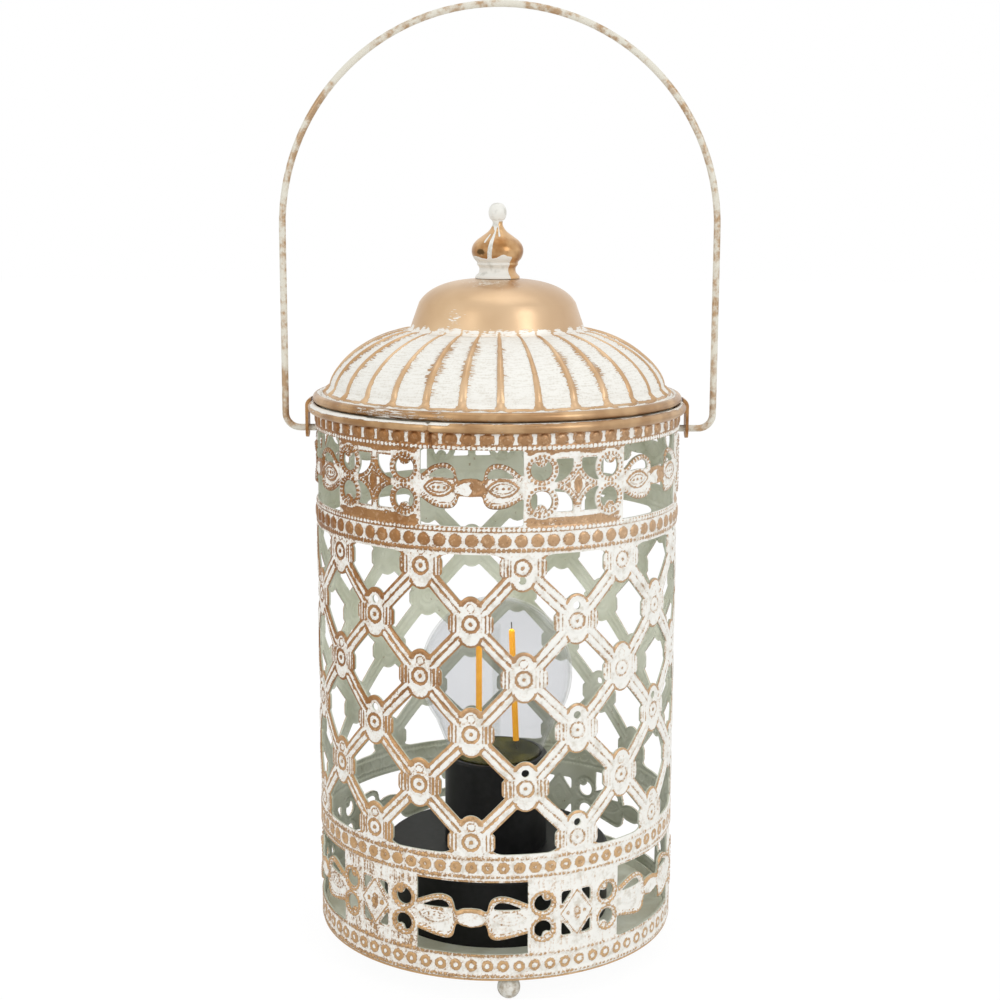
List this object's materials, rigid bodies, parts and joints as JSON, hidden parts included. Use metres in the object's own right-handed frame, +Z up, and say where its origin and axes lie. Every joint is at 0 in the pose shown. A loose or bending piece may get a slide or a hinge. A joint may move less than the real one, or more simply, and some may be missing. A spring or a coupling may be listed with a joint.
{
  "type": "lantern table lamp",
  "caption": "Round pierced metal lantern table lamp with lift-off fluted lid, swinging wire bail, ball feet and a battery light unit under a clear globe.",
  "frame": {"origin": "on the ground, at the lantern's own axis, under the three ball feet", "axes": "+Z up along the lantern's axis, +X along the bail's pivots, -Y towards the front"},
  "size_m": [0.1808, 0.1568, 0.3922],
  "materials": {
    "distressed_white": "chalky off-white paint rubbed through to copper lacquer on every raised edge",
    "lid_paint": "off-white paint in the flutes, copper-gold on the ribs and the rolled edge",
    "finial_paint": "off-white over copper-gold lacquer",
    "bail_paint": "off-white paint worn to brown and gold",
    "copper_lacquer": "satin copper-gold lacquer with brush marks",
    "sage_lacquer": "thin grey-green lacquer with small rust freckles",
    "steel": "zinc plated steel",
    "black_plastic": "fine satin moulded black",
    "clear_glass": "clear blown glass",
    "stem_glass": "clear drawn glass",
    "olive_resin": "dark olive potting resin",
    "amber_phosphor": "amber silicone over the light chips",
    "lead_wire": "fine bare lead wire",
    "board_green": "green lacquered circuit board",
    "cell_jacket": "plain shrink jacket",
    "nickel_plate": "bright nickel plated contacts",
    "switch_grey": "dark grey moulding"
  },
  "bodies": {
    "lantern_body": {"upper_frieze_band": "distressed_white", "lattice_sheet": "distressed_white", "lower_frieze_band": "distressed_white", "rim_wire": "steel", "floor_plate": "sage_lacquer", "ball_feet": "distressed_white", "bail_ears": "copper_lacquer", "base_housing": "black_plastic", "base_cover": "black_plastic", "unit_screws": "steel", "pedestal": "black_plastic", "globe_glass": "clear_glass", "globe_plug": "olive_resin", "filament_stem": "stem_glass", "light_filaments": "amber_phosphor", "filament_leads": "lead_wire", "driver_board": "board_green", "battery_cells": "cell_jacket", "battery_contacts": "nickel_plate", "door_pin": "steel", "switch_body": "switch_grey"},
    "bail": {"bail_wire": "bail_paint"},
    "lid": {"lid_skirt": "lid_paint", "lid_wire": "steel", "lid_dome": "copper_lacquer", "lid_collar": "sage_lacquer", "finial": "finial_paint", "finial_screw": "steel", "finial_washer": "steel"},
    "battery_hatch": {"battery_door": "black_plastic", "door_screw": "steel"},
    "power_switch": {"switch_slider": "switch_grey"}
  },
  "joints": [
    {"name": "bail_swing", "type": "hinge", "parent": "lantern_body", "child": "bail", "pos_m": [0, 0, 0.2196], "axis": [1, 0, 0], "range_deg": [-150, 150]},
    {"name": "lid_lift", "type": "slide", "parent": "lantern_body", "child": "lid", "axis": [0, 0, 1], "range_m": [0, 0.06]},
    {"name": "battery_hatch_swing", "type": "hinge", "parent": "lantern_body", "child": "battery_hatch", "pos_m": [0, 0.0263, 0.0118], "axis": [1, 0, 0], "range_deg": [0, 95]},
    {"name": "power_switch_slide", "type": "slide", "parent": "lantern_body", "child": "power_switch", "axis": [1, 0, 0], "range_m": [0, 0.003]}
  ]
}
